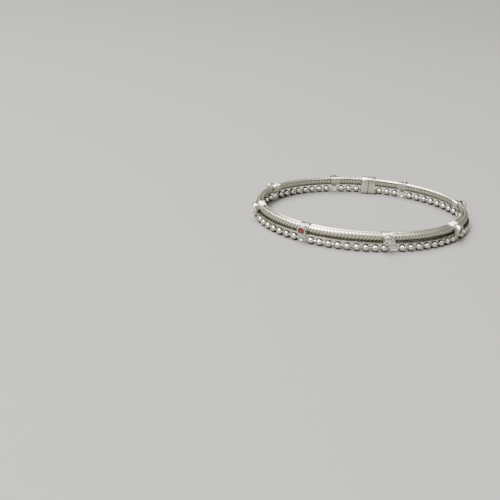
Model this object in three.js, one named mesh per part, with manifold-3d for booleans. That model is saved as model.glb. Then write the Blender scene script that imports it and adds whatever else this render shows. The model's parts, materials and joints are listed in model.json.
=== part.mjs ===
// A payal: a rigid oval silver anklet, lying flat on a surface with its beads down.
// A tube runs round it, with a thin wire along its upper inner edge and a rail below its outer side.
// A strand of beads hangs under the tube. Straps bind tube, rail and edge wire together and carry the
// strand on links; each strap has a box collet with a stone. A clasp block closes the ring at the back.
// Millimetres, +Z up, front at -Y. The origin is at the oval's centre, on the surface it lies on.
import * as THREE from "three";
import { mergeVertices } from "three/addons/utils/BufferGeometryUtils.js";
import Module from "manifold-3d";

// The oval that the bead strand follows, through the beads' centres
const OVAL_LENGTH = 96;
const OVAL_WIDTH = 76.8;
const LENGTH_DIVISIONS = 2000;

// The strand is divided into equal places, counted from the front (-Y) and rising towards +X
const PLACES = 70;
const FRONT_PLACE = 0.23;
const FRONT_SHARE = 0.75;

// Cross-section: outward is measured from the strand's centreline, height from the surface
const TUBE = { outward: -0.8, height: 6.05, halfWidth: 1.25, halfHeight: 1.8 };
const RAIL = { outward: 0.85, height: 4, halfWidth: 0.5, halfHeight: 0.5 };
const EDGE_WIRE = { outward: -2.3, height: 7.5, halfWidth: 0.45, halfHeight: 0.45 };
const TUBE_SIDES = 12;
const WIRE_SIDES = 8;
const RING_STEPS = 72;

// Beads
const BEAD_RADIUS = 1.65;
const BEAD_SIDES = 8;
const THREAD_RADIUS = 0.6;
const STRAND_HEIGHT = BEAD_RADIUS;

// Straps: a wide band over the tube and a narrow one that closes under the rail at the link
const STRAP_GAP = 0.2;
const STRAP_THICKNESS = 0.4;
const STRAP_WIDTH = 5;
const STRAP_STEPS = 2;
const STRAP_SIDES = 16;
const NECK_THICKNESS = 0.3;
const NECK_WIDTH = 2.8;
const NECK_TOP = 4.9;
const STRAP_OPEN_BELOW = 4.5;
const STRAP_OPEN_TO = 1.5;
const STRAP_INNER = -4;
const STRAP_OUTER = 3;

// Links: an oval ring that stands in the strand in place of one bead
const LINK_WIDTH = 3.6;
const LINK_HEIGHT = 3.2;
const LINK_WIRE = 0.8;
const LINK_SIDES = 12;

// Box collets and their stones
const COLLET_WIDTH = 3.9;
const COLLET_HEIGHT = 4.7;
const COLLET_CENTRE_HEIGHT = 5.85;
const COLLET_BACK = 0.8;
const COLLET_RIM = 2.9;
const COLLET_CORNER = 0.8;
const CORNER_STEPS = 1;
const POCKET_RADIUS = 1.6;
const POCKET_STEPS = 6;
const POCKET_FLOOR = 1.85;
const POCKET_OVERRUN = 1;
const STONE_RADIUS = 1.4;
const STONE_SIDES = 12;
const STONE_PROFILE = [
  { across: 0, outward: 2.05 },
  { across: STONE_RADIUS, outward: 2.45 },
  { across: STONE_RADIUS, outward: 2.55 },
  { across: 0.85, outward: 2.85 },
  { across: 0, outward: 2.85 },
];

// Clasp block, with flat ends and a flat underside
const CLASP_PLACE = 32.5;
const CLASP_LENGTH = 7.2;
const CLASP_INNER = -3.2;
const CLASP_OUTER = 2;
const CLASP_HEIGHT = 8.5;
const CLASP_CORNER = 1;
const CLASP_END_GAP = 0.3;

// Settings, in order round the ring: the place of the link, how far along the collet sits from its
// link (in places), and the stone
const SETTINGS = [
  { place: -24, lean: 0.5, stone: "clear" },
  { place: -16, lean: 0.1, stone: "clear" },
  { place: -8, lean: 0.1, stone: "red" },
  { place: 2, lean: -0.8, stone: "clear" },
  { place: 11, lean: -0.55, stone: "green" },
  { place: 19, lean: 0.05, stone: "clear" },
  { place: 28, lean: 0, stone: "clear" },
  { place: 37, lean: 0, stone: "clear" },
];

const SILVER = { color: 0xd6d2c6, roughness: 0.28, metalness: 1 };
const STONES = {
  clear: { color: 0xeef2f4, roughness: 0.05, metalness: 0 },
  red: { color: 0x9c1626, roughness: 0.08, metalness: 0 },
  green: { color: 0x1f4a33, roughness: 0.08, metalness: 0 },
};

const wasm = await Module();
wasm.setup();

/** A stretch of a line parallel to the oval, at a given distance outward and height. */
class OvalPath extends THREE.Curve {
  constructor(outward, height, from = 0, to = 1) {
    super();
    this.outward = outward;
    this.height = height;
    this.from = from;
    this.to = to;
  }

  getPoint(t) {
    const angle = 2 * Math.PI * (this.from + (this.to - this.from) * t);
    const halfLength = OVAL_LENGTH / 2;
    const halfWidth = OVAL_WIDTH / 2;
    const point = new THREE.Vector3(halfLength * Math.cos(angle), halfWidth * Math.sin(angle), 0);
    const normal = new THREE.Vector3(Math.cos(angle) / halfLength, Math.sin(angle) / halfWidth, 0);
    point.addScaledVector(normal.normalize(), this.outward);
    point.z = this.height;
    return point;
  }
}

const STRAND_PATH = new OvalPath(0, 0);
STRAND_PATH.arcLengthDivisions = LENGTH_DIVISIONS;
const PITCH = STRAND_PATH.getLength() / PLACES;

/** The share of the strand's length, from +X, at which a place falls. */
function shareAt(place) {
  return THREE.MathUtils.euclideanModulo(FRONT_SHARE + (place - FRONT_PLACE) / PLACES, 1);
}

/** The share of a whole turn of the oval's own angle at a place. */
function turnAt(place) {
  return STRAND_PATH.getUtoTmapping(shareAt(place));
}

/**
 * Bends a geometry round the oval. Its X is length along the strand, its -Y is outward and its Z is
 * height, and its own origin goes to the place.
 */
function bendAt(place, geometry) {
  const position = geometry.getAttribute("position");
  for (let i = 0; i < position.count; i += 1) {
    const turn = turnAt(place + position.getX(i) / PITCH);
    const point = new OvalPath(-position.getY(i), position.getZ(i)).getPoint(turn);
    position.setXYZ(i, point.x, point.y, point.z);
  }
  geometry.computeVertexNormals();
  return geometry;
}

/** A closed geometry as a solid for cutting and joining. */
function solidOf(geometry) {
  const bare = geometry.clone();
  bare.deleteAttribute("normal");
  bare.deleteAttribute("uv");
  const merged = mergeVertices(bare);
  const vertProperties = Float32Array.from(merged.getAttribute("position").array);
  const triVerts = Uint32Array.from(merged.getIndex().array);
  return new wasm.Manifold(new wasm.Mesh({ numProp: 3, vertProperties, triVerts }));
}

/** A solid back as a geometry. */
function geometryOf(solid) {
  const { vertProperties, triVerts } = solid.getMesh();
  const geometry = new THREE.BufferGeometry();
  geometry.setAttribute("position", new THREE.BufferAttribute(vertProperties, 3));
  geometry.setIndex(new THREE.BufferAttribute(triVerts, 1));
  geometry.computeVertexNormals();
  return geometry;
}

/** A named mesh with a material of its own. */
function meshOf(name, geometry, finish) {
  const mesh = new THREE.Mesh(geometry, new THREE.MeshStandardMaterial(finish));
  mesh.name = name;
  return mesh;
}

/** The furthest point of a round section in a direction, moved on by a distance. */
function supportOf(section, angle, distance) {
  const across = Math.cos(angle);
  const up = Math.sin(angle);
  const reach = Math.hypot(section.halfWidth * across, section.halfHeight * up);
  return {
    outward: section.outward + section.halfWidth ** 2 * across / reach + distance * across,
    height: section.height + section.halfHeight ** 2 * up / reach + distance * up,
    depth: section.outward * across + section.height * up + reach,
  };
}

/** The outline that wraps tube, rail and edge wire at a distance, as (-outward, height) points. */
function wrapOutline(distance) {
  const points = [];
  for (let side = 0; side < STRAP_SIDES; side += 1) {
    const angle = 2 * Math.PI * side / STRAP_SIDES;
    const supports = [TUBE, RAIL, EDGE_WIRE].map((section) => supportOf(section, angle, distance));
    const furthest = supports.reduce((a, b) => (b.depth > a.depth ? b : a));
    points.push(new THREE.Vector2(-furthest.outward, furthest.height));
  }
  return new THREE.Shape(points);
}

/** A (-outward, height) outline drawn out along the strand by a width, centred at X = 0. */
function alongStrand(outline, width, steps) {
  const options = { depth: width, steps, curveSegments: CORNER_STEPS, bevelEnabled: false };
  const geometry = new THREE.ExtrudeGeometry(outline, options);
  geometry.translate(0, 0, -width / 2);
  geometry.applyMatrix4(new THREE.Matrix4().makeBasis(
    new THREE.Vector3(0, 1, 0),
    new THREE.Vector3(0, 0, 1),
    new THREE.Vector3(1, 0, 0),
  ));
  return geometry;
}

/** An (along, up) outline drawn out from one distance outward to another. */
function outwardFrom(outline, from, to, curveSegments = CORNER_STEPS) {
  const options = { depth: to - from, curveSegments, bevelEnabled: false };
  const geometry = new THREE.ExtrudeGeometry(outline, options);
  geometry.rotateX(Math.PI / 2);
  geometry.translate(0, -from, 0);
  return geometry;
}

/** A rectangle with round corners, centred at a point. */
function roundedRectangle(centreX, centreY, width, height, corner) {
  const right = width / 2 - corner;
  const top = height / 2 - corner;
  const shape = new THREE.Shape();
  shape.absarc(centreX + right, centreY + top, corner, 0, Math.PI / 2);
  shape.absarc(centreX - right, centreY + top, corner, Math.PI / 2, Math.PI);
  shape.absarc(centreX - right, centreY - top, corner, Math.PI, Math.PI * 3 / 2);
  shape.absarc(centreX + right, centreY - top, corner, Math.PI * 3 / 2, Math.PI * 2);
  return shape;
}

/** A wire or tube round the ring, open only at the clasp. */
function ringPiece(name, section, sides) {
  const clear = (CLASP_LENGTH / 2 + CLASP_END_GAP) / PITCH;
  const from = turnAt(CLASP_PLACE + clear);
  const to = turnAt(CLASP_PLACE - clear) + 1;
  const path = new OvalPath(section.outward, section.height, from, to);
  const outline = new THREE.Shape(
    new THREE.EllipseCurve(0, 0, section.halfHeight, section.halfWidth).getPoints(sides).slice(1),
  );
  const options = { steps: RING_STEPS, extrudePath: path, bevelEnabled: false };
  return meshOf(name, new THREE.ExtrudeGeometry(outline, options), SILVER);
}

/** The half outline of one bead along the thread, from neck to neck. */
function beadOutline(centre) {
  const neck = Math.sqrt(BEAD_RADIUS ** 2 - THREAD_RADIUS ** 2);
  const slant = BEAD_RADIUS / Math.SQRT2;
  return [
    new THREE.Vector2(THREAD_RADIUS, centre - neck),
    new THREE.Vector2(slant, centre - slant),
    new THREE.Vector2(BEAD_RADIUS, centre),
    new THREE.Vector2(slant, centre + slant),
    new THREE.Vector2(THREAD_RADIUS, centre + neck),
  ];
}

/** The beads at a run of places, on the thread that joins them. */
function beadRow(name, firstPlace, count) {
  const outline = [new THREE.Vector2(0, -BEAD_RADIUS)];
  for (let bead = 0; bead < count; bead += 1) {
    outline.push(...beadOutline(bead * PITCH));
  }
  outline.push(new THREE.Vector2(0, (count - 1) * PITCH + BEAD_RADIUS));
  const geometry = new THREE.LatheGeometry(outline, BEAD_SIDES);
  geometry.rotateZ(-Math.PI / 2);
  geometry.translate(0, 0, STRAND_HEIGHT);
  return meshOf(name, bendAt(firstPlace, geometry), SILVER);
}

/** The rows of beads between each two neighbours among the links and the clasp. */
function beadRows() {
  const half = CLASP_LENGTH / 2 / PITCH;
  const stops = SETTINGS.map(({ place }) => ({ before: place - 1, after: place + 1 }));
  stops.push({ before: Math.floor(CLASP_PLACE - half), after: Math.ceil(CLASP_PLACE + half) });
  stops.sort((a, b) => a.before - b.before);
  return stops.map(({ after }, index) => {
    const next = index + 1 < stops.length ? stops[index + 1].before : stops[0].before + PLACES;
    return beadRow(`bead_row_${index + 1}`, after, next - after + 1);
  });
}

/** A block along the strand, between two distances outward, from the surface up to a height. */
function strandBlock(place, inner, outer, top) {
  const block = new THREE.BoxGeometry(2 * STRAP_WIDTH, outer - inner, top, 2 * STRAP_STEPS);
  block.translate(0, -(outer + inner) / 2, top / 2);
  return solidOf(bendAt(place, block));
}

/** The two bands of a strap, solid through: over the tube, and from there down under the rail. */
function strapBands(place, lean) {
  const bandOutline = wrapOutline(STRAP_GAP + STRAP_THICKNESS);
  const neckOutline = wrapOutline(STRAP_GAP + NECK_THICKNESS);
  const band = solidOf(bendAt(place + lean, alongStrand(bandOutline, STRAP_WIDTH, STRAP_STEPS)));
  const neck = solidOf(bendAt(place, alongStrand(neckOutline, NECK_WIDTH, STRAP_STEPS)));
  const opening = strandBlock(place + lean, STRAP_INNER, STRAP_OPEN_TO, STRAP_OPEN_BELOW);
  const lowerPart = strandBlock(place, STRAP_INNER, STRAP_OUTER, NECK_TOP);
  return band.subtract(opening).add(neck.intersect(lowerPart));
}

/** The ring that stands in the strand under a strap. */
function link(place) {
  const outer = new THREE.Shape(
    new THREE.EllipseCurve(0, STRAND_HEIGHT, LINK_WIDTH / 2, LINK_HEIGHT / 2)
      .getPoints(LINK_SIDES).slice(1),
  );
  const hole = new THREE.EllipseCurve(
    0,
    STRAND_HEIGHT,
    LINK_WIDTH / 2 - LINK_WIRE,
    LINK_HEIGHT / 2 - LINK_WIRE,
  );
  outer.holes.push(new THREE.Path(hole.getPoints(LINK_SIDES).slice(1)));
  return solidOf(bendAt(place, outwardFrom(outer, -LINK_WIRE / 2, LINK_WIRE / 2)));
}

/** The box of a collet, solid through. */
function colletBox(place) {
  const outline = roundedRectangle(0, COLLET_CENTRE_HEIGHT, COLLET_WIDTH, COLLET_HEIGHT, COLLET_CORNER);
  return solidOf(bendAt(place, outwardFrom(outline, COLLET_BACK, COLLET_RIM)));
}

/** The round pocket that a stone sits in, running out past the rim. */
function colletPocket(place) {
  const outline = new THREE.Shape();
  outline.absarc(0, COLLET_CENTRE_HEIGHT, POCKET_RADIUS, 0, 2 * Math.PI);
  const mouth = COLLET_RIM + POCKET_OVERRUN;
  return solidOf(bendAt(place, outwardFrom(outline, POCKET_FLOOR, mouth, POCKET_STEPS)));
}

/** A strap with its link and collet, soldered into one. */
function setting(name, { place, lean }) {
  const tunnel = alongStrand(wrapOutline(STRAP_GAP), 2 * STRAP_WIDTH, 2 * STRAP_STEPS);
  const solid = strapBands(place, lean)
    .add(colletBox(place + lean))
    .subtract(solidOf(bendAt(place + lean, tunnel)))
    .subtract(colletPocket(place + lean))
    .add(link(place));
  return meshOf(name, geometryOf(solid), SILVER);
}

/** A round cut stone, its table facing outward. */
function stone(name, { place, lean, stone: kind }) {
  const outline = STONE_PROFILE.map(({ across, outward }) => new THREE.Vector2(across, outward));
  const geometry = new THREE.LatheGeometry(outline, STONE_SIDES);
  geometry.rotateX(Math.PI);
  geometry.translate(0, 0, COLLET_CENTRE_HEIGHT);
  return meshOf(name, bendAt(place + lean, geometry), STONES[kind]);
}

/** The block that the ends of the ring meet. */
function clasp() {
  const outline = roundedRectangle(
    -(CLASP_OUTER + CLASP_INNER) / 2,
    CLASP_HEIGHT / 2,
    CLASP_OUTER - CLASP_INNER,
    CLASP_HEIGHT,
    CLASP_CORNER,
  );
  return meshOf("clasp", bendAt(CLASP_PLACE, alongStrand(outline, CLASP_LENGTH, 1)), SILVER);
}

const anklet = new THREE.Group();
anklet.add(ringPiece("main_tube", TUBE, TUBE_SIDES));
anklet.add(ringPiece("rail", RAIL, WIRE_SIDES));
anklet.add(ringPiece("edge_wire", EDGE_WIRE, WIRE_SIDES));
anklet.add(...beadRows());
SETTINGS.forEach((each, index) => {
  anklet.add(setting(`setting_${index + 1}`, each));
  anklet.add(stone(`stone_${index + 1}`, each));
});
anklet.add(clasp());

export default anklet;
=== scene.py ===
"""A payal: a rigid oval silver anklet, lying flat with its beads down.

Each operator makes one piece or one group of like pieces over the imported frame, and the panel lists
them. Lengths are in metres. Along the ring, places are counted in lengths along the oval that the beads
follow.
"""

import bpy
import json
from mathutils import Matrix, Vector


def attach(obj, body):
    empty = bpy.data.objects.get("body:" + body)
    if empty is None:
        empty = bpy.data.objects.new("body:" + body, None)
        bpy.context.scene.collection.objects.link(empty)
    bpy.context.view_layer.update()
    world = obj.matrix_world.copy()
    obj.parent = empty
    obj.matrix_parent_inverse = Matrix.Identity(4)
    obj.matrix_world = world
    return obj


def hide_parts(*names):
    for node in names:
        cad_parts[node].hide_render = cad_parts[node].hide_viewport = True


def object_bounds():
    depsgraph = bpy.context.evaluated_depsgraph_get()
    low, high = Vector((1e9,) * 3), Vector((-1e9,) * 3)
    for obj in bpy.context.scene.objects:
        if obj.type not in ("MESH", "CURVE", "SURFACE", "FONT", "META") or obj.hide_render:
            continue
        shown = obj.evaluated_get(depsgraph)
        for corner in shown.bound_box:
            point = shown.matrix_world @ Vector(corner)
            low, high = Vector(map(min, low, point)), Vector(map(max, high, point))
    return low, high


bl_info = {
    "name": "Payal Anklet",
    "version": (1, 0, 0),
    "blender": (4, 5, 0),
    "location": "3D View > Sidebar > Payal",
    "description": "Engraved tube, wires, beads, settings and stones of an oval silver anklet",
    "category": "Add Mesh",
}

import json
import math

import bmesh
import bpy
import numpy as np
from bpy.props import FloatProperty, FloatVectorProperty, IntProperty, PointerProperty
from mathutils import Quaternion, Vector

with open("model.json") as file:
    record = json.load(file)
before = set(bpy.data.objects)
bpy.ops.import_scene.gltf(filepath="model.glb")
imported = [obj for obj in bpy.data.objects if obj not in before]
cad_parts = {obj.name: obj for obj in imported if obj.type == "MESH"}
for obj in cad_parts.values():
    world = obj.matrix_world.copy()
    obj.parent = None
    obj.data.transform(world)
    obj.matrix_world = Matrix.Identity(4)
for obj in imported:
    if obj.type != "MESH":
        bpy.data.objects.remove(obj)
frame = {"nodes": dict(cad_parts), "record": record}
FRAME_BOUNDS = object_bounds()

MM = 0.001
BODY = "root"
# Name of the attribute that holds how dark shade is painted at each point
SHADE_ATTRIBUTE = "painted_shade"
RUN = "run"
SLOTS = {part["node"]: part["material_slot"] for part in frame["record"]["subparts"]}


# ---------------------------------------------------------------- settings a user would change


def length(name, description, millimetres):
    """A size, given in millimetres and held in metres."""
    return FloatProperty(
        name=name, description=description, default=millimetres * MM, unit="LENGTH", precision=5
    )


def share(name, description, default):
    """A number from 0 to 1."""
    return FloatProperty(
        name=name, description=description, default=default, min=0, max=1, subtype="FACTOR"
    )


def angle(name, description, degrees):
    """An angle, given in degrees and held in radians."""
    return FloatProperty(
        name=name, description=description, default=math.radians(degrees), subtype="ANGLE"
    )


def colour(name, description, default):
    """A linear colour."""
    return FloatVectorProperty(
        name=name, description=description, default=default, min=0, max=1, subtype="COLOR"
    )


class PayalRing(bpy.types.PropertyGroup):
    """The oval and the round pieces that follow it."""

    oval_length: length("Oval length", "Long diameter through the beads' centres", 96)
    oval_width: length("Oval width", "Short diameter through the beads' centres", 76.8)
    places: IntProperty(
        name="Places", description="Equal places for beads and links round the oval", default=70
    )
    end_reach: length("End reach", "How far the tube and wires run on into the clasp", 0.6)
    wire_sides: IntProperty(name="Wire sides", description="Faces round each wire", default=20)


class PayalEngraving(bpy.types.PropertyGroup):
    """The herringbone cut into the tube."""

    pitch: length("Pitch", "Distance along the tube from one cut to the next", 1.5)
    depth: length("Depth", "Depth of each cut", 0.075)
    slant: FloatProperty(
        name="Slant", description="Length along the tube for each length round it", default=0.5
    )
    spine: angle("Spine", "Where the cuts meet, above the tube's outermost line", 20)
    width: share("Width", "Share of the pitch that a cut takes", 0.6)
    step: length("Step", "Length of one face along the tube", 0.21)
    sides: IntProperty(name="Sides", description="Faces round the tube", default=56)


class PayalBeads(bpy.types.PropertyGroup):
    """The strand of beads."""

    thread: length("Thread", "Radius of the thread between two beads", 0.62)
    tail: length("Tail", "How far the thread runs on past the last bead of a row", 0.6)
    sides: IntProperty(name="Sides", description="Faces round a bead", default=28)
    steps: IntProperty(name="Steps", description="Faces along a bead", default=16)


class PayalSetting(bpy.types.PropertyGroup):
    """A strap with its collet and the link that hangs from it."""

    gap: length("Gap", "Distance of a strap's inside from the tube and wires", 0.03)
    thickness: length("Thickness", "Thickness of a strap at its ribs", 0.32)
    rib_depth: length("Rib depth", "Depth of the grooves between a strap's ribs", 0.15)
    ribs: IntProperty(name="Ribs", description="Ribs across a strap", default=7)
    width: length("Width", "Width of a strap over the tube", 4.9)
    foot: length("Foot", "Width of a strap under the rail", 2)
    narrow_from: length("Narrow from", "Height at which a strap starts to narrow", 4.9)
    narrow_to: length("Narrow to", "Height at which a strap reaches its foot's width", 3.7)
    collet_width: length("Collet width", "Width of a collet along the ring", 3.9)
    collet_height: length("Collet height", "Height of a collet", 4.7)
    collet_corner: length("Collet corner", "Radius of a collet's corners", 1.1)
    link_length: length("Link length", "Half the length of a link's centreline", 1.75)
    link_height: length("Link height", "Half the height of a link's centreline", 1.15)
    link_wire: length("Link wire", "Radius of a link's wire", 0.38)


class PayalColours(bpy.types.PropertyGroup):
    """Colours of metal, stones and floor."""

    silver: colour("Silver", "Satin silver", (0.62, 0.595, 0.495))
    polished: colour("Polished silver", "Silver of collets and beads", (0.84, 0.82, 0.75))
    # The dark colour stands for tarnish in clouds and spots, and for shade painted in corners, cuts and
    # beneath
    tarnish_and_shade: colour("Tarnish_and_shade", "Silver in cuts and corners", (0.036, 0.032, 0.022))
    clear: colour("Clear stone", "Foiled clear stone", (0.74, 0.76, 0.73))
    red: colour("Red stone", "Deep red stone", (0.055, 0.001, 0.004))
    green: colour("Green stone", "Dark green stone", (0.001, 0.03, 0.01))
    floor: colour("Floor", "Plain pale floor", (0.155, 0.1535, 0.149))


class PayalView(bpy.types.PropertyGroup):
    """Where the camera stands and looks."""

    azimuth: angle("Azimuth", "Direction of the camera from the front, towards +X", -12.65)
    elevation: angle("Elevation", "Height of the camera above the floor", 19.66)
    distance: length("Distance", "Distance of the camera from the ring's centre", 344.8)
    lens: FloatProperty(name="Lens", description="Focal length in millimetres", default=53.09)
    pan: angle("Pan", "Turn of the camera to the left of the ring's centre", 8.18)
    tilt: angle("Tilt", "Turn of the camera below the ring's centre", 4)
    roll: angle("Roll", "Turn of the camera about its own line of sight", 5.95)


class PayalSettings(bpy.types.PropertyGroup):
    """All the anklet's settings."""

    ring: PointerProperty(type=PayalRing, name="Ring", description="The oval and its wires")
    engraving: PointerProperty(type=PayalEngraving, name="Engraving", description="Cuts in the tube")
    beads: PointerProperty(type=PayalBeads, name="Beads", description="The strand of beads")
    setting: PointerProperty(type=PayalSetting, name="Settings", description="Straps and collets")
    colours: PointerProperty(type=PayalColours, name="Colours", description="All colours")
    view: PointerProperty(type=PayalView, name="View", description="The camera")


def settings():
    """The anklet's settings in this scene."""
    return bpy.context.scene.payal


# ---------------------------------------------------------------- the ring's own coordinates

OVAL_SAMPLES = 8000
# Corners of a node that agree to this many decimals of a metre are one corner
SAME_CORNER = 7


def round_turns(count, start=0.0):
    """Equal turns all the way round."""
    return start + np.arange(count) * (2 * math.pi / count)


def circle(turns):
    """The points of a circle of radius 1 at some turns."""
    return np.stack((np.cos(turns), np.sin(turns)), axis=-1)


class Oval:
    """The oval that the beads follow, and the way between its coordinates and the frame's.

    Ring coordinates are the length along the oval from the front towards +X, the distance outward and
    the height.
    """

    def __init__(self, ring):
        self.half = np.array((ring.oval_length, ring.oval_width)) / 2
        self.turns = np.linspace(-math.pi / 2, 3 * math.pi / 2, OVAL_SAMPLES + 1)
        self.line = self.half * circle(self.turns)
        steps = np.linalg.norm(np.diff(self.line, axis=0), axis=1)
        self.lengths = np.concatenate(([0], np.cumsum(steps)))
        self.total = self.lengths[-1]
        self.pitch = self.total / ring.places

    def outward_at(self, turns):
        """The unit vectors that point out of the oval."""
        normal = circle(turns) / self.half
        return normal / np.linalg.norm(normal, axis=-1, keepdims=True)

    def bend(self, points):
        """Points in ring coordinates, as points in the frame."""
        turns = np.interp(points[..., 0] % self.total, self.lengths, self.turns)
        flat = self.half * circle(turns) + points[..., 1:2] * self.outward_at(turns)
        return np.concatenate((flat, points[..., 2:3]), axis=-1)

    def unbend(self, points):
        """Points in the frame, as points in ring coordinates with no jump between them."""
        apart = points[:, None, :2] - self.line[None]
        nearest = np.argmin((apart**2).sum(axis=2), axis=1)
        offset = points[:, :2] - self.line[nearest]
        normal = self.outward_at(self.turns[nearest])
        along_line = np.stack((-normal[:, 1], normal[:, 0]), axis=1)
        along = self.lengths[nearest] + (offset * along_line).sum(axis=1)
        along = along[0] + (along - along[0] + self.total / 2) % self.total - self.total / 2
        return np.stack((along, (offset * normal).sum(axis=1), points[:, 2]), axis=1)


def node_points(oval, node):
    """The corners of a frame node, in ring coordinates."""
    vertices = frame["nodes"][node].data.vertices
    points = np.array([vertex.co for vertex in vertices])
    return oval.unbend(np.unique(np.round(points, SAME_CORNER), axis=0))


def middle_and_half(values):
    """The middle of some values and half their spread."""
    return (values.max() + values.min()) / 2, (values.max() - values.min()) / 2


# How much further inward a piece reaches than its node
WIDENED = {"rail": 1.0 * MM}


class Section:
    """The round section of a piece that runs along the ring, from its frame node."""

    def __init__(self, oval, node):
        points = node_points(oval, node)
        half_widening = WIDENED.get(node, 0.0) / 2
        middle, half = middle_and_half(points[:, 1])
        self.outward = middle - half_widening
        self.half_width = half + half_widening
        self.height, self.half_height = middle_and_half(points[:, 2])

    def support(self, turns, distance):
        """The furthest points in some directions, moved on by a distance, and their unmoved reach."""
        across = np.cos(turns)
        up = np.sin(turns)
        reach = np.hypot(self.half_width * across, self.half_height * up)
        outward = self.outward + self.half_width**2 / reach * across + distance * across
        height = self.height + self.half_height**2 / reach * up + distance * up
        return np.stack((outward, height), axis=-1), self.outward * across + self.height * up + reach


# ---------------------------------------------------------------- surfaces

# Edges that turn further than this are drawn sharp
SHARP_EDGE = math.radians(50)
SHARP_SETTING_EDGE = math.radians(38)
SHARP_CLASP_EDGE = math.radians(40)


def grid_faces(rows, columns, wrap_rows=False):
    """The faces between the points of a grid[row, column], whose columns close on themselves."""
    row = np.arange(rows if wrap_rows else rows - 1)[:, None] * columns
    column = np.arange(columns)[None]
    ahead = (row + columns) % (rows * columns)
    beside = (column + 1) % columns
    faces = np.stack((row + column, ahead + column, ahead + beside, row + beside), axis=-1)
    return faces.reshape(-1, 4)


def place_in_scene(name, data):
    """A new object in the scene that holds a mesh, a light or a camera."""
    placed = bpy.data.objects.new(name, data)
    bpy.context.scene.collection.objects.link(placed)
    return placed


class Surface:
    """The points and faces of a piece while it is being made, in ring coordinates."""

    def __init__(self):
        self.points = []
        self.faces = []
        self.painted_shade = []
        self.runs = []
        self.count = 0

    def grid(self, points, wrap_rows=False, caps=False, painted_shade=0.0, around=None):
        """Adds a tube of points[row, column], whose columns always close on themselves.

        wrap_rows joins the last row to the first, and caps closes both ends. painted_shade is how dark
        shade is painted at each point, from 0 to 1. around is the distance round the tube at each column
        and at the last column's end, and is given only where the rows don't wrap.
        """
        rows, columns = points.shape[:2]
        self.faces += (grid_faces(rows, columns, wrap_rows) + self.count).tolist()
        if around is not None:
            along = points[:, :1, 0]
            near, far = along[:-1], along[1:]
            low, high = around[None, :-1], around[None, 1:]
            corners = ((near, low), (far, low), (far, high), (near, high))
            run = [np.stack(np.broadcast_arrays(u, v), axis=-1) for u, v in corners]
            self.runs.append(np.stack(run, axis=2).reshape(-1, 2))
        if caps:
            first = self.count + np.arange(columns)
            last = first + (rows - 1) * columns
            self.faces += [first.tolist(), last[::-1].tolist()]
            if around is not None:
                self.runs.append(np.zeros((2 * columns, 2)))
        self.points.append(points.reshape(-1, 3))
        self.painted_shade.append(np.broadcast_to(painted_shade, (rows, columns)).reshape(-1))
        self.count += rows * columns

    def piece(self, name, oval, sharp_edge=SHARP_EDGE):
        """The finished piece: bent round the ring, closed and facing out, with its painted shade values.
        """
        mesh = bpy.data.meshes.new(name)
        mesh.from_pydata(oval.bend(np.concatenate(self.points)).tolist(), [], self.faces)
        if self.runs:
            layer = mesh.uv_layers.new(name=RUN)
            layer.data.foreach_set("uv", np.concatenate(self.runs).astype(np.float32).ravel())
        painted_shade = mesh.attributes.new(SHADE_ATTRIBUTE, "FLOAT", "POINT")
        painted_shade.data.foreach_set("value", np.concatenate(self.painted_shade).astype(np.float32))
        face_out(mesh)
        mesh.shade_smooth()
        mesh.set_sharp_from_angle(angle=sharp_edge)
        return place_in_scene(name, mesh)


def face_out(mesh):
    """Turns a closed mesh's faces outward."""
    work = bmesh.new()
    work.from_mesh(mesh)
    bmesh.ops.recalc_face_normals(work, faces=work.faces)
    work.to_mesh(mesh)
    work.free()


def stand_for(piece, node, material):
    """Gives a piece its material and its body, and hides the frame node that it stands for."""
    piece.data.materials.append(material)
    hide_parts(node)
    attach(piece, BODY)


def smooth(low, high, values):
    """0 below low, 1 above high and a smooth rise between."""
    part = np.clip((values - low) / (high - low), 0, 1)
    return part * part * (3 - 2 * part)


# ---------------------------------------------------------------- materials


class Value:
    """A number in a material. Arithmetic on it adds Math nodes."""

    def __init__(self, finish, socket):
        self.finish = finish
        self.socket = socket

    def math(self, operation, *inputs, clamp=False):
        """The result of one Math node."""
        node_settings = {"operation": operation, "use_clamp": clamp}
        return self.finish.node("ShaderNodeMath", node_settings, dict(enumerate(inputs)))

    def __add__(self, other):
        return self.math("ADD", self, other)

    def __sub__(self, other):
        return self.math("SUBTRACT", self, other)

    def __rsub__(self, other):
        return self.math("SUBTRACT", other, self)

    def __mul__(self, other):
        return self.math("MULTIPLY", self, other)

    def __truediv__(self, other):
        return self.math("DIVIDE", self, other)

    def __abs__(self):
        return self.math("ABSOLUTE", self)

    __radd__ = __add__
    __rmul__ = __mul__

    def fraction(self):
        """What is left above the whole number below."""
        return self.math("FRACT", self)

    def clamped(self):
        """The value kept between 0 and 1."""
        return self.math("ADD", self, 0.0, clamp=True)

    def between(self, low, high):
        """0 at low, 1 at high and a smooth rise between."""
        sockets = {"Value": self, "From Min": low, "From Max": high}
        return self.finish.node("ShaderNodeMapRange", {"interpolation_type": "SMOOTHSTEP"}, sockets)


# Where a colour Mix node's sockets stand among its inputs and outputs
MIX_FACTOR, MIX_LOW, MIX_HIGH = 0, 6, 7
MIX_RESULT = 2


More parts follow.
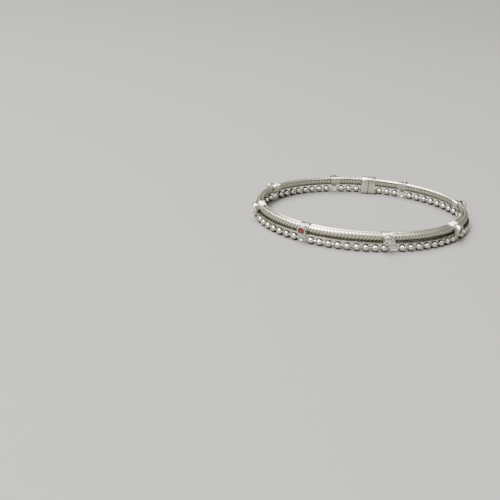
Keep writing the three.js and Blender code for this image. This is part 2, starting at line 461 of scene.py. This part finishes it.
class Finish:
    """A material while it is being made."""

    def __init__(self, name):
        self.material = bpy.data.materials.new(name)
        self.material.use_nodes = True
        self.tree = self.material.node_tree
        self.shader = self.tree.nodes["Principled BSDF"]

    def put(self, socket, value):
        """Links a value to a socket, or sets it there."""
        if isinstance(value, Value):
            self.tree.links.new(value.socket, socket)
        else:
            socket.default_value = value

    def node(self, kind, node_settings, inputs, output=0):
        """Adds a node with its settings and its sockets' values or links, and returns one output."""
        made = self.tree.nodes.new(kind)
        for name, value in node_settings.items():
            setattr(made, name, value)
        for name, value in inputs.items():
            self.put(made.inputs[name], value)
        return Value(self, made.outputs[output])

    def place(self):
        """The place on the object, in metres."""
        return self.node("ShaderNodeTexCoord", {}, {}, "Object")

    def noise(self, place, size, detail=3.0, stretch=(1, 1, 1)):
        """Noise from 0 to 1, of a size in metres."""
        scale = [part / size for part in stretch]
        stretched = self.node(
            "ShaderNodeVectorMath", {"operation": "MULTIPLY"}, {0: place, 1: scale}
        )
        return self.node("ShaderNodeTexNoise", {}, {"Vector": stretched, "Scale": 1.0, "Detail": detail})

    def blend(self, factor, low, high):
        """A colour between two others."""
        sockets = {MIX_FACTOR: factor, MIX_LOW: (*low, 1), MIX_HIGH: (*high, 1)}
        return self.node("ShaderNodeMix", {"data_type": "RGBA"}, sockets, MIX_RESULT)

    def shade(self, **inputs):
        """Sets or links the shader's own sockets, named with _ for a space."""
        for name, value in inputs.items():
            self.put(self.shader.inputs[name.replace("_", " ")], value)

    def bump(self, height, strength, distance):
        """Raises the surface by a height."""
        sockets = {"Height": height, "Strength": strength, "Distance": distance}
        normal = self.node("ShaderNodeBump", {}, sockets)
        self.put(self.shader.inputs["Normal"], normal)


# Sizes of the marks on silver, how fine their detail is and where in the noise each starts and is full
SCRATCH = 0.35 * MM
SCRATCH_DETAIL = 4.0
SCRATCH_STRETCH = (1, 1, 3.5)
CLOUD = 5 * MM
CLOUD_LIMITS = (0.42, 0.75)
SPOT = 0.9 * MM
SPOT_DETAIL = 2.0
SPOT_LIMITS = (0.5, 0.8)
# How dark the painted shade is where it is full and how much darker tarnish spots make it there, then
# how much tarnish shows in clouds and spots, and how dark the shade painted in the cuts is
PAINTED_SHADE_DARKNESS = 0.9
TARNISH_SPOTS_IN_SHADE = 0.1
CLOUD_TARNISH = 0.08
SPOT_TARNISH = 0.12
PAINTED_CUT_SHADE = 0.7
# What scratches, clouds and the darkness of tarnish and painted shade add to the roughness
SCRATCH_ROUGHNESS = 0.06
CLOUD_ROUGHNESS = 0.08
TARNISH_AND_SHADE_ROUGHNESS = 0.2
# Strength of the scratches' bump, and their depth
SCRATCH_BUMP = 0.12
SCRATCH_DEPTH = 0.02 * MM
# Tint of silver where it is seen edge-on
EDGE_TINT = (0.5, 0.49, 0.45, 1)


def silver(name, roughness, polish=0.0, cuts=None):
    """Silver with painted shade in corners and beneath, tarnish spots, fine scratches and a few dull
    clouds.

    polish takes it from satin to polished silver. cuts, where there are any, add painted shade in them.
    """
    colours = settings().colours
    finish = Finish(name)
    bright = Vector(colours.silver).lerp(Vector(colours.polished), polish)
    place = finish.place()
    scratches = finish.noise(place, SCRATCH, SCRATCH_DETAIL, SCRATCH_STRETCH)
    clouds = finish.noise(place, CLOUD).between(*CLOUD_LIMITS)
    spots = finish.noise(place, SPOT, SPOT_DETAIL).between(*SPOT_LIMITS)
    # How dark shade is painted at each point, in corners and on sides that face down
    corner = finish.node("ShaderNodeAttribute", {"attribute_name": SHADE_ATTRIBUTE}, {}, "Fac")
    spotted_shade = corner * (PAINTED_SHADE_DARKNESS + TARNISH_SPOTS_IN_SHADE * spots)
    # The darkness is the painted shade plus tarnish in clouds and spots
    dark = spotted_shade + CLOUD_TARNISH * clouds + SPOT_TARNISH * spots
    # Shade is also painted in the cuts, less where other painted shade is already dark
    if cuts:
        dark = dark + PAINTED_CUT_SHADE * cuts(finish) * (1 - corner)
    dark = dark.clamped()
    rough = roughness + SCRATCH_ROUGHNESS * scratches + CLOUD_ROUGHNESS * clouds
    finish.shade(
        Base_Color=finish.blend(dark, bright, colours.tarnish_and_shade),
        Metallic=1.0,
        Specular_Tint=EDGE_TINT,
        Roughness=rough + TARNISH_AND_SHADE_ROUGHNESS * dark,
    )
    finish.bump(scratches, SCRATCH_BUMP, SCRATCH_DEPTH)
    return finish.material


def herringbone(finish):
    """How far a point of the tube lies in a cut, from 0 to 1."""
    engraving = settings().engraving
    run = finish.node("ShaderNodeUVMap", {"uv_map": RUN}, {})
    along = finish.node("ShaderNodeSeparateXYZ", {}, {0: run}, "X")
    around = finish.node("ShaderNodeSeparateXYZ", {}, {0: run}, "Y")
    stroke = ((along + abs(around) * engraving.slant) / engraving.pitch).fraction()
    from_middle = abs(stroke - 0.5) * 2
    return 1 - from_middle.between(0.0, engraving.width)


# Where in the noise the painted sparkle of a foiled stone and the painted glow of a coloured stone start
# and are full
PAINTED_SPARKLE_LIMITS = (0.35, 0.65)
GLOW_LIMITS = (0.35, 0.7)
# A foiled stone's dim patches between its painted sparkle, as a share of its colour
PAINTED_SPARKLE_DIM = 0.45
# A coloured stone's painted glow patches: its colour times the first, and the second more
GLOW_GAIN = 1.7
GLOW_LIFT = 0.012
STONE_COAT_ROUGHNESS = 0.02


def stone_finish(name, patch, limits, low, high, metallic, roughness, coat):
    """A cut stone whose colour goes from low to high in soft patches of painted light, of a size in
    metres.
    """
    finish = Finish(name)
    patches = finish.noise(finish.place(), patch, detail=0.0).between(*limits)
    finish.shade(
        Base_Color=finish.blend(patches, low, high),
        Metallic=metallic,
        Roughness=roughness,
        Coat_Weight=coat,
        Coat_Roughness=STONE_COAT_ROUGHNESS,
    )
    return finish.material


def foiled_stone(name, stone_colour):
    """A clear cut stone with foil behind it, which mirrors from its facets, with painted sparkle in soft
    patches.
    """
    dim = [part * PAINTED_SPARKLE_DIM for part in stone_colour]
    # The stone's light and dim patches are painted sparkle
    return stone_finish(
        name,
        patch=0.7 * MM,
        limits=PAINTED_SPARKLE_LIMITS,
        low=dim,
        high=stone_colour,
        metallic=0.85,
        roughness=0.06,
        coat=1.0,
    )


def coloured_stone(name, stone_colour):
    """A deeply coloured cut stone, with lighter patches of painted glow where light would gather in it.
    """
    # The lighter patches are painted glow
    bright = [part * GLOW_GAIN + GLOW_LIFT for part in stone_colour]
    return stone_finish(
        name,
        patch=0.9 * MM,
        limits=GLOW_LIMITS,
        low=stone_colour,
        high=bright,
        metallic=0.0,
        roughness=0.08,
        coat=0.6,
    )


# Size of the faint clouds on a plain surface, and their dimmest, as a share of its colour
PLAIN_CLOUD = 0.2
PLAIN_DIM = 0.985


def plain(name, surface_colour, roughness):
    """A plain dull surface, very slightly clouded."""
    finish = Finish(name)
    clouds = finish.noise(finish.place(), PLAIN_CLOUD, detail=2.0)
    dim = [part * PLAIN_DIM for part in surface_colour]
    finish.shade(Base_Color=finish.blend(clouds, dim, surface_colour), Roughness=roughness)
    return finish.material


# ---------------------------------------------------------------- tube and wires

# A shade is how dark a side is painted, as a painted shade value. It starts at a level, from -1 at the
# top of a section to 1 at the bottom, and is full at FULL_SHADE_AT.
FULL_SHADE_AT = 0.95
TUBE_SHADE = 0.95
TUBE_SHADE_FROM = -0.4
CUT_SHADE = 0.15
# How far down a wire the shade painted on its underside starts and is full, and the same upward
# for shade painted on its top
WIRE_UNDERSIDE = (0.0, 0.8)
WIRE_TOP = (0.1, 0.6)
WIRE_STEP = 0.5 * MM


def under_side(turns, from_level):
    """How far each side of a section faces down, from 0 above a level to 1 at the bottom."""
    return smooth(from_level, FULL_SHADE_AT, -np.sin(turns))


def carry(outline, along):
    """The points[row, column] of an outline that is carried along the ring."""
    points = np.empty((len(along), len(outline), 3))
    points[..., 0] = along[:, None]
    points[..., 1:] = outline[None]
    return points


def round_ring(oval, step):
    """Lengths along the ring from one end of the clasp round to the other, run on into it."""
    middle, half = middle_and_half(node_points(oval, "clasp")[:, 0])
    end = half - settings().ring.end_reach
    return np.linspace(middle + end, middle - end + oval.total, int(oval.total / step))


def make_tube(oval, engraving):
    """The tube, with shade painted on its underside, and its cuts where the herringbone finish paints
    shade in them.
    """
    section = Section(oval, "main_tube")
    along = round_ring(oval, engraving.step)
    turns = round_turns(engraving.sides, engraving.spine)
    closed = np.append(turns, engraving.spine + 2 * math.pi)
    rim, _ = section.support(closed, 0.0)
    around = np.concatenate(([0], np.cumsum(np.linalg.norm(np.diff(rim, axis=0), axis=1))))
    around = np.where(around > around[-1] / 2, around - around[-1], around)
    around[-1] = 0.0
    stroke = (along[:, None] + engraving.slant * np.abs(around[None, :-1])) / engraving.pitch % 1
    cut = 1 - smooth(0.0, engraving.width, np.abs(stroke - 0.5) * 2)
    points = carry(rim[:-1], along)
    points[..., 1:] -= engraving.depth * cut[..., None] * circle(turns)[None]
    surface = Surface()
    # Shade is painted on the tube's underside and in its cuts
    painted_shade = TUBE_SHADE * under_side(turns, TUBE_SHADE_FROM)[None] + CUT_SHADE * cut
    surface.grid(points, caps=True, painted_shade=painted_shade, around=around)
    return surface.piece("engraved_tube", oval)


def make_wire(oval, node, name, ring, shaded_top):
    """A plain wire along the ring, with shade painted on its underside and on some of its top."""
    section = Section(oval, node)
    along = round_ring(oval, WIRE_STEP)
    turns = round_turns(ring.wire_sides)
    rim, _ = section.support(turns, 0.0)
    up = np.sin(turns)
    # Shade is painted on the wire's underside and, by the given share, on its top
    painted_shade = np.maximum(smooth(*WIRE_UNDERSIDE, -up), shaded_top * smooth(*WIRE_TOP, up))
    surface = Surface()
    surface.grid(carry(rim, along), caps=True, painted_shade=painted_shade[None])
    return surface.piece(name, oval)


# Each wire's node, its piece's name and how much shade is painted on its top
WIRES = (
    ("rail", "flat_rail", 1.0),
    ("edge_wire", "round_edge_wire", 0.0),
)


class PAYAL_OT_tube(bpy.types.Operator):
    """Make the engraved tube"""

    bl_idname = "payal.tube"
    bl_label = "Engraved Tube"

    def execute(self, context):
        oval = Oval(settings().ring)
        piece = make_tube(oval, settings().engraving)
        material = silver("engraved silver", roughness=0.25, cuts=herringbone)
        stand_for(piece, "main_tube", material)
        return {"FINISHED"}


class PAYAL_OT_wires(bpy.types.Operator):
    """Make the rail and the edge wire"""

    bl_idname = "payal.wires"
    bl_label = "Rail and Edge Wire"

    def execute(self, context):
        ring = settings().ring
        oval = Oval(ring)
        material = silver("silver wire", roughness=0.25)
        for node, name, shaded_top in WIRES:
            piece = make_wire(oval, node, name, ring, shaded_top)
            stand_for(piece, node, material)
        return {"FINISHED"}


# ---------------------------------------------------------------- beads

# How dark the painted shade at a bead's neck is, and how thick the bead is where it ends, as a share
# of its full radius
NECK_SHADE = 0.35
NECK_SHADE_TO = 0.72
BEAD_SHADE_FROM = -0.35


def bead_profile(radius, thread, tail, pitch, count, steps):
    """The outline of a row of beads on their thread, as (along, radius) from the first bead's centre."""
    neck = math.asin(thread / radius)
    turns = np.linspace(neck, math.pi - neck, steps)
    bead = np.stack((-np.cos(turns), np.sin(turns)), axis=1) * radius
    beads = [bead + (number * pitch, 0) for number in range(count)]
    start = (-radius * math.cos(neck) - tail, thread)
    end = ((count - 1) * pitch - start[0], thread)
    return np.concatenate(([start], *beads, [end]))


def make_bead_row(oval, node, name, beads):
    """A row of round beads that rest on the floor, on the thread that joins them."""
    points = node_points(oval, node)
    middle, half = middle_and_half(points[:, 0])
    radius = middle_and_half(points[:, 2])[1]
    count = round((half - radius) * 2 / oval.pitch) + 1
    profile = bead_profile(radius, beads.thread, beads.tail, oval.pitch, count, beads.steps)
    first = middle - (count - 1) * oval.pitch / 2
    turns = round_turns(beads.sides)
    grid = np.empty((len(profile), beads.sides, 3))
    grid[..., 0] = first + profile[:, :1]
    grid[..., 1] = profile[:, 1:] * np.cos(turns)
    grid[..., 2] = radius + profile[:, 1:] * np.sin(turns)
    # Shade is painted at the beads' necks and on their undersides
    near_neck = 1 - smooth(beads.thread, NECK_SHADE_TO * radius, profile[:, 1:])
    low = under_side(turns, BEAD_SHADE_FROM)[None]
    surface = Surface()
    surface.grid(grid, caps=True, painted_shade=np.maximum(NECK_SHADE * near_neck, low))
    return surface.piece(name, oval)


class PAYAL_OT_beads(bpy.types.Operator):
    """Make the rows of beads"""

    bl_idname = "payal.beads"
    bl_label = "Beads"

    def execute(self, context):
        oval = Oval(settings().ring)
        material = silver("bead silver", roughness=0.24, polish=0.5)
        for node in sorted(name for name in frame["nodes"] if name.startswith("bead_row_")):
            stand_for(make_bead_row(oval, node, f"beads_{node}", settings().beads), node, material)
        return {"FINISHED"}


# ---------------------------------------------------------------- settings and stones

# Points round and across a strap, and round the other outlines
STRAP_TURNS = 96
STRAP_ACROSS = 57
OUTLINE_TURNS = 64
LINK_TURNS = 40
WIRE_TURNS = 14
# The higher the power, the squarer a strap's edges
STRAP_EDGE_POWER = 24
# Where between its foot's width and its full width a strap's ribs start and are full
RIBBED_FROM = 0.2
RIBBED_TO = 0.9
# A strap's width inside, as a share of its width outside
STRAP_INSIDE = 0.9
# Shades between a strap's ribs and on its underside, and the level at which the last starts
RIB_SHADE = 0.8
STRAP_SHADE = 0.6
STRAP_SHADE_FROM = -0.2
# A box's outline has the power of an ellipse, and more as its corners get tighter
ELLIPSE_POWER = 2
CORNER_POWER = 2.2
# A link whose collet leans further away than this is a hanger
HANGER_FROM = 1 * MM
# How much is cut off both ends of a hanger's sides to round it, and how many times
CORNER_CUT = 0.25
CORNER_CUTS = 3


def wrap(sections, turns, distances):
    """The outline round several sections, at given distances from them."""
    reaches = [section.support(turns, distances) for section in sections]
    depths = np.stack([depth for _, depth in reaches])
    points = np.stack([point for point, _ in reaches])
    furthest = np.argmax(depths, axis=0)
    return points[furthest, np.arange(len(turns))]


def add_strap(surface, sections, sizes, link, collet):
    """The ribbed band round tube and wires, narrowing to its foot over the link."""
    turns = round_turns(STRAP_TURNS)
    across = np.linspace(-1, 1, STRAP_ACROSS)
    rib = np.abs(np.sin(across * sizes.ribs * math.pi / 2))
    edge = 1 - np.abs(across) ** STRAP_EDGE_POWER
    crests = wrap(sections, turns, sizes.gap + sizes.thickness)
    wide = smooth(sizes.narrow_to, sizes.narrow_from, crests[:, 1])
    ribbed = wide * smooth(RIBBED_FROM, RIBBED_TO, wide)
    outer = (sizes.thickness - sizes.rib_depth * (1 - rib[:, None]) * ribbed) * edge[:, None]
    outlines = [wrap(sections, turns, sizes.gap + depth) for depth in outer]
    outlines += [wrap(sections, turns, sizes.gap)] * 2
    outline = np.stack(outlines, axis=1)
    half = (sizes.foot + (sizes.width - sizes.foot) * wide) / 2
    middle = link + (collet - link) * wide
    spread = np.concatenate((across, (STRAP_INSIDE, -STRAP_INSIDE)))
    points = np.empty((STRAP_TURNS, STRAP_ACROSS + 2, 3))
    points[..., 0] = middle[:, None] + half[:, None] * spread
    points[..., 1:] = outline
    # Shade is painted between the ribs and on the strap's underside
    between_ribs = np.concatenate((RIB_SHADE * (1 - rib) ** 2, (1, 1)))[None] * ribbed[:, None]
    low = STRAP_SHADE * under_side(turns, STRAP_SHADE_FROM)
    surface.grid(points, wrap_rows=True, painted_shade=np.maximum(between_ribs, low[:, None]))


def rounded_outline(half_width, half_height, corner, turns):
    """A rectangle with round corners, as the points that lie in some directions from its middle."""
    power = ELLIPSE_POWER + CORNER_POWER * (1 - corner / half_width)
    across = np.cos(turns)
    up = np.sin(turns)
    reach = (np.abs(across) ** power + np.abs(up) ** power) ** (-1 / power)
    return np.stack((half_width * reach * across, half_height * reach * up), axis=-1)


def collet_profile(rim, stone_radius):
    """The collet's outlines from its back to its rim, down into the pocket.

    Each row is its shape, its inset or radius, its distance outward and how dark shade is painted there,
    darkest in corners.
    """
    return (
        ("box", 0.1 * MM, 0.6 * MM, 1.0),
        ("box", 0.1 * MM, 1.0 * MM, 0.7),
        ("box", 0, 1.05 * MM, 0.2),
        ("box", 0, 1.45 * MM, 0.1),
        ("box", 0.08 * MM, 1.53 * MM, 0.5),
        ("box", 0.16 * MM, 1.56 * MM, 0.9),
        ("box", 0.16 * MM, 1.62 * MM, 0.5),
        ("box", 0.1 * MM, 1.7 * MM, 0.0),
        ("box", 0.12 * MM, rim - 0.45 * MM, 0.0),
        ("box", 0.2 * MM, rim - 0.24 * MM, 0.0),
        ("box", 0.34 * MM, rim - 0.18 * MM, 0.0),
        ("round", stone_radius + 0.42 * MM, rim - 0.22 * MM, 0.75),
        ("round", stone_radius + 0.36 * MM, rim - 0.04 * MM, 0.1),
        ("round", stone_radius + 0.22 * MM, rim, 0.0),
        ("round", stone_radius + 0.06 * MM, rim - 0.08 * MM, 0.0),
        ("round", stone_radius + 0.02 * MM, rim - 0.4 * MM, 0.8),
        ("round", stone_radius + 0.02 * MM, rim - 0.95 * MM, 1.0),
        ("round", 0.3 * MM, rim - 1.02 * MM, 1.0),
    )


def add_collet(surface, sizes, collet, height, rim, stone_radius):
    """The box collet round a stone."""
    turns = round_turns(OUTLINE_TURNS)
    rows = collet_profile(rim, stone_radius)
    points = np.empty((len(rows), OUTLINE_TURNS, 3))
    for number, (shape, size, outward, _) in enumerate(rows):
        if shape == "box":
            outline = rounded_outline(
                sizes.collet_width / 2 - size,
                sizes.collet_height / 2 - size,
                sizes.collet_corner,
                turns,
            )
        else:
            outline = size * circle(turns)
        points[number, :, 0] = collet + outline[:, 0]
        points[number, :, 1] = outward
        points[number, :, 2] = height + outline[:, 1]
    # Shade is painted in the collet's corners and pocket
    painted_shade = np.array([corner for *_, corner in rows])
    surface.grid(points, caps=True, painted_shade=painted_shade[:, None])


def add_wire(surface, path, radius):
    """A round wire along a closed path in the ring's upright face, at its middle."""
    along_path = np.roll(path, -1, axis=0) - np.roll(path, 1, axis=0)
    along_path /= np.linalg.norm(along_path, axis=1, keepdims=True)
    sideways = np.stack((-along_path[:, 2], np.zeros(len(path)), along_path[:, 0]), axis=1)
    out = np.array((0, 1, 0))
    turns = round_turns(WIRE_TURNS)
    points = path[:, None] + radius * (
        np.cos(turns)[None, :, None] * sideways[:, None] + np.sin(turns)[None, :, None] * out
    )
    surface.grid(points, wrap_rows=True)


def rounded_path(corners):
    """A closed path with its corners cut off again and again."""
    path = np.array(corners)
    for _ in range(CORNER_CUTS):
        after = np.roll(path, -1, axis=0)
        near = (1 - CORNER_CUT) * path + CORNER_CUT * after
        far = CORNER_CUT * path + (1 - CORNER_CUT) * after
        path = np.stack((near, far), axis=1).reshape(-1, 2)
    return path


# Corners of a hanger, as lengths towards the far side of its link and heights
HANGER = (
    (-1.6 * MM, 0.7 * MM),
    (1.6 * MM, 0.7 * MM),
    (2.5 * MM, 1.4 * MM),
    (-0.1 * MM, 3.5 * MM),
    (-2.5 * MM, 1.7 * MM),
)


def link_path(sizes, height, lean):
    """The middle of a link's wire, as (along, height).

    It is an oval, or a hanger where the collet leans away from the link.
    """
    if abs(lean) > HANGER_FROM:
        return rounded_path(HANGER) * (math.copysign(1, lean), 1)
    turns = round_turns(LINK_TURNS)
    along = sizes.link_length * np.cos(turns)
    return np.stack((along, height + sizes.link_height * np.sin(turns)), axis=1)


def add_link(surface, sizes, link, height, lean):
    """The loop of wire that stands in the strand under a strap's foot."""
    path = link_path(sizes, height, lean)
    points = np.zeros((len(path), 3))
    points[:, 0] = link + path[:, 0]
    points[:, 2] = path[:, 1]
    add_wire(surface, points, sizes.link_wire)


def make_setting(oval, number, sizes):
    """A strap, its collet and its link as one piece of metal."""
    metal = node_points(oval, f"setting_{number}")
    stone = node_points(oval, f"stone_{number}")
    strand_height = node_points(oval, "bead_row_1")[:, 2].max() / 2
    # Only the link reaches down into the strand
    foot = metal[metal[:, 2] < strand_height]
    link = middle_and_half(foot[:, 0])[0]
    collet, stone_radius = middle_and_half(stone[:, 0])
    # The same place is also whole turns of the ring away
    collet += round((link - collet) / oval.total) * oval.total
    height = middle_and_half(stone[:, 2])[0]
    rim = metal[:, 1].max()
    sections = [Section(oval, node) for node in ("main_tube", "rail", "edge_wire")]
    surface = Surface()
    add_strap(surface, sections, sizes, link, collet)
    add_collet(surface, sizes, collet, height, rim, stone_radius)
    add_link(surface, sizes, link, strand_height, link - collet)
    return surface.piece(f"setting_piece_{number}", oval, SHARP_SETTING_EDGE)


def setting_numbers():
    """The numbers of the settings in the frame."""
    return sorted(int(name.split("_")[1]) for name in frame["nodes"] if name.startswith("setting_"))


class PAYAL_OT_settings(bpy.types.Operator):
    """Make the straps with their collets and links"""

    bl_idname = "payal.settings"
    bl_label = "Settings"

    def execute(self, context):
        oval = Oval(settings().ring)
        material = silver("setting silver", roughness=0.22, polish=0.55)
        for number in setting_numbers():
            piece = make_setting(oval, number, settings().setting)
            stand_for(piece, f"setting_{number}", material)
        return {"FINISHED"}


# Cut of a stone: each row is a number of corners, their turn in half steps, their share of the radius
# and their height from the culet (0) to the table (1)
STONE_CUT = (
    (8, 0, 0.56, 1.0),
    (8, 1, 0.8, 0.82),
    (16, 0, 1.0, 0.56),
    (16, 0, 1.0, 0.5),
    (8, 0, 0.55, 0.2),
    (1, 0, 0.0, 0.0),
)
# Turn of every stone in its collet, in radians
STONE_TURN = 0.2
# Faces that turn less than this become one facet
ONE_FACET = math.radians(1.5)


def make_stone(oval, number):
    """A round cut stone with flat facets."""
    points = node_points(oval, f"stone_{number}")
    along, radius = middle_and_half(points[:, 0])
    height = middle_and_half(points[:, 2])[0]
    low, high = points[:, 1].min(), points[:, 1].max()
    corners = []
    for count, half_steps, part, lift in STONE_CUT:
        turns = round_turns(count, STONE_TURN + half_steps * math.pi / count)
        ring = np.empty((count, 3))
        ring[:, 0] = along + part * radius * np.cos(turns)
        ring[:, 1] = low + (high - low) * lift
        ring[:, 2] = height + part * radius * np.sin(turns)
        corners.append(ring)
    name = f"cut_stone_{number}"
    mesh = bpy.data.meshes.new(name)
    work = bmesh.new()
    for corner in oval.bend(np.concatenate(corners)):
        work.verts.new(corner)
    bmesh.ops.convex_hull(work, input=work.verts)
    bmesh.ops.dissolve_limit(work, angle_limit=ONE_FACET, verts=work.verts, edges=work.edges)
    bmesh.ops.recalc_face_normals(work, faces=work.faces)
    work.to_mesh(mesh)
    work.free()
    return place_in_scene(name, mesh)


class PAYAL_OT_stones(bpy.types.Operator):
    """Make the cut stones"""

    bl_idname = "payal.stones"
    bl_label = "Stones"

    def execute(self, context):
        oval = Oval(settings().ring)
        colours = settings().colours
        materials = {
            "clear_stone": foiled_stone("clear stone", colours.clear),
            "red_stone": coloured_stone("red stone", colours.red),
            "green_stone": coloured_stone("green stone", colours.green),
        }
        for number in setting_numbers():
            node = f"stone_{number}"
            stand_for(make_stone(oval, number), node, materials[SLOTS[node]])
        return {"FINISHED"}


# ---------------------------------------------------------------- clasp

# From the middle of the clasp to its end: each row is a share of its half length, how far the block is
# drawn in there and how dark shade is painted there, darkest in its corners. The other half mirrors it.
HALF_CLASP = (
    (0.035, 0.22 * MM, 1.0),
    (0.045, 0.0, 0.2),
    (0.9, 0.0, 0.0),
    (0.95, 0.06 * MM, 0.0),
    (0.985, 0.22 * MM, 0.0),
    (1.0, 0.5 * MM, 0.3),
)
CLASP_CORNER = 1.1 * MM


def make_clasp(oval):
    """The closed clasp, a plain rounded block with one parting line."""
    points = node_points(oval, "clasp")
    along, half_length = middle_and_half(points[:, 0])
    outward, half_width = middle_and_half(points[:, 1])
    height, half_height = middle_and_half(points[:, 2])
    turns = round_turns(OUTLINE_TURNS)
    mirrored = [(-part, inset, corner) for part, inset, corner in reversed(HALF_CLASP)]
    rows = (*mirrored, *HALF_CLASP)
    grid = np.empty((len(rows), OUTLINE_TURNS, 3))
    for number, (part, inset, _) in enumerate(rows):
        outline = rounded_outline(half_width - inset, half_height - inset, CLASP_CORNER, turns)
        grid[number, :, 0] = along + part * half_length
        grid[number, :, 1:] = (outward, height) + outline
    surface = Surface()
    # Shade is painted in the clasp's parting line and at its corners
    painted_shade = np.array([corner for *_, corner in rows])
    surface.grid(grid, caps=True, painted_shade=painted_shade[:, None])
    return surface.piece("clasp_block", oval, SHARP_CLASP_EDGE)


class PAYAL_OT_clasp(bpy.types.Operator):
    """Make the clasp"""

    bl_idname = "payal.clasp"
    bl_label = "Clasp"

    def execute(self, context):
        piece = make_clasp(Oval(settings().ring))
        stand_for(piece, "clasp", silver("clasp silver", roughness=0.22))
        return {"FINISHED"}


# ---------------------------------------------------------------- stage

# Radii of the two inner rings of the floor's flat part and of its edge, then how far the edge sweeps
# out and up
FLOOR_RINGS = (0.02, 0.3)
FLOOR_FLAT = 0.7
FLOOR_SWEEP = 2.1
FLOOR_RISE = 1.2
FLOOR_TURNS = 96
SWEEP_STEPS = 40


def make_floor():
    """A round floor whose edge sweeps up into a backdrop."""
    bend = np.linspace(0, math.pi / 2, SWEEP_STEPS)
    reach = np.concatenate((FLOOR_RINGS, FLOOR_FLAT + FLOOR_SWEEP * np.sin(bend)))
    rise = np.concatenate((np.zeros(len(FLOOR_RINGS)), FLOOR_RISE * (1 - np.cos(bend))))
    points = np.empty((len(reach), FLOOR_TURNS, 3))
    points[..., :2] = reach[:, None, None] * circle(round_turns(FLOOR_TURNS))
    points[..., 2] = rise[:, None]
    faces = [list(range(FLOOR_TURNS)), *grid_faces(len(reach), FLOOR_TURNS).tolist()]
    mesh = bpy.data.meshes.new("floor")
    mesh.from_pydata(points.reshape(-1, 3).tolist(), [], faces)
    mesh.shade_smooth()
    mesh.materials.append(plain("pale floor", settings().colours.floor, roughness=0.7))
    floor = place_in_scene("floor", mesh)


def direction(azimuth, elevation):
    """The way from the ring to a point at some azimuth from the front and elevation."""
    flat = math.cos(elevation)
    return Vector((math.sin(azimuth) * flat, -math.cos(azimuth) * flat, math.sin(elevation)))


# Each row is a name, an azimuth and an elevation in degrees, a distance, a width, a height and a power
# in watts
LIGHTS = (
    ("key", -46, 48, 2.0, 0.45, 0.45, 85.0),
    ("top", -100, 74, 2.2, 2.2, 1.9, 195.0),
    ("right", 36, 44, 2.2, 0.5, 0.5, 20.0),
    ("back", 200, 56, 2.4, 1.2, 0.4, 30.0),
)
LIGHT_COLOUR = (1.0, 0.985, 0.95)
WORLD_COLOUR = (0.95, 0.97, 1.0, 1)
WORLD_STRENGTH = 0.4
# The nearest and furthest that the camera sees
NEAR = 0.01
FAR = 50


def make_lights():
    """Softboxes round the ring and a low even light from all sides."""
    for name, azimuth, elevation, distance, width, height, power in LIGHTS:
        data = bpy.data.lights.new(name, "AREA")
        data.shape = "RECTANGLE"
        data.size = width
        data.size_y = height
        data.energy = power
        data.color = LIGHT_COLOUR
        light = place_in_scene(name, data)
        way = direction(math.radians(azimuth), math.radians(elevation))
        light.location = way * distance
        light.rotation_mode = "QUATERNION"
        light.rotation_quaternion = (-way).to_track_quat("-Z", "Y")
    world = bpy.data.worlds.new("studio")
    world.use_nodes = True
    background = world.node_tree.nodes["Background"]
    background.inputs["Color"].default_value = WORLD_COLOUR
    background.inputs["Strength"].default_value = WORLD_STRENGTH
    bpy.context.scene.world = world


def make_camera(view):
    """The camera, aimed a little to the left of the ring and below it."""
    data = bpy.data.cameras.new("camera")
    data.lens = view.lens
    data.clip_start = NEAR
    data.clip_end = FAR
    camera = place_in_scene("camera", data)
    low, high = FRAME_BOUNDS
    centre = Vector((0, 0, (low.z + high.z) / 2))
    way = direction(view.azimuth, view.elevation)
    camera.location = centre + way * view.distance
    camera.rotation_mode = "QUATERNION"
    camera.rotation_quaternion = (
        (-way).to_track_quat("-Z", "Y")
        @ Quaternion((0, 1, 0), view.pan)
        @ Quaternion((1, 0, 0), -view.tilt)
        @ Quaternion((0, 0, 1), view.roll)
    )
    bpy.context.scene.camera = camera


class PAYAL_OT_stage(bpy.types.Operator):
    """Make the floor, the lights and the camera"""

    bl_idname = "payal.stage"
    bl_label = "Stage"

    def execute(self, context):
        make_floor()
        make_lights()
        make_camera(settings().view)
        return {"FINISHED"}


# ---------------------------------------------------------------- add-on

OPERATORS = (
    PAYAL_OT_stage,
    PAYAL_OT_tube,
    PAYAL_OT_wires,
    PAYAL_OT_beads,
    PAYAL_OT_settings,
    PAYAL_OT_stones,
    PAYAL_OT_clasp,
)
GROUPS = (PayalRing, PayalEngraving, PayalBeads, PayalSetting, PayalColours, PayalView, PayalSettings)


class PAYAL_PT_panel(bpy.types.Panel):
    """The anklet's pieces and settings"""

    bl_idname = "PAYAL_PT_panel"
    bl_label = "Payal Anklet"
    bl_space_type = "VIEW_3D"
    bl_region_type = "UI"
    bl_category = "Payal"

    def draw(self, context):
        column = self.layout.column(align=True)
        for operator in OPERATORS:
            column.operator(operator.bl_idname)
        for group in ("ring", "engraving", "beads", "setting", "colours", "view"):
            box = self.layout.box()
            box.label(text=group.capitalize())
            values = getattr(context.scene.payal, group)
            for name in values.bl_rna.properties.keys():
                if name not in ("rna_type", "name"):
                    box.prop(values, name)


CLASSES = (*GROUPS, *OPERATORS, PAYAL_PT_panel)


def register():
    """Adds the operators, the panel and the settings to Blender."""
    for each in CLASSES:
        bpy.utils.register_class(each)
    bpy.types.Scene.payal = PointerProperty(type=PayalSettings)


def unregister():
    """Takes them out again."""
    del bpy.types.Scene.payal
    for each in reversed(CLASSES):
        bpy.utils.unregister_class(each)


def main():
    """Makes the whole anklet and its stage."""
    register()
    bpy.ops.payal.stage()
    bpy.ops.payal.tube()
    bpy.ops.payal.wires()
    bpy.ops.payal.beads()
    bpy.ops.payal.settings()
    bpy.ops.payal.stones()
    bpy.ops.payal.clasp()


if __name__ == "__main__":
    main()
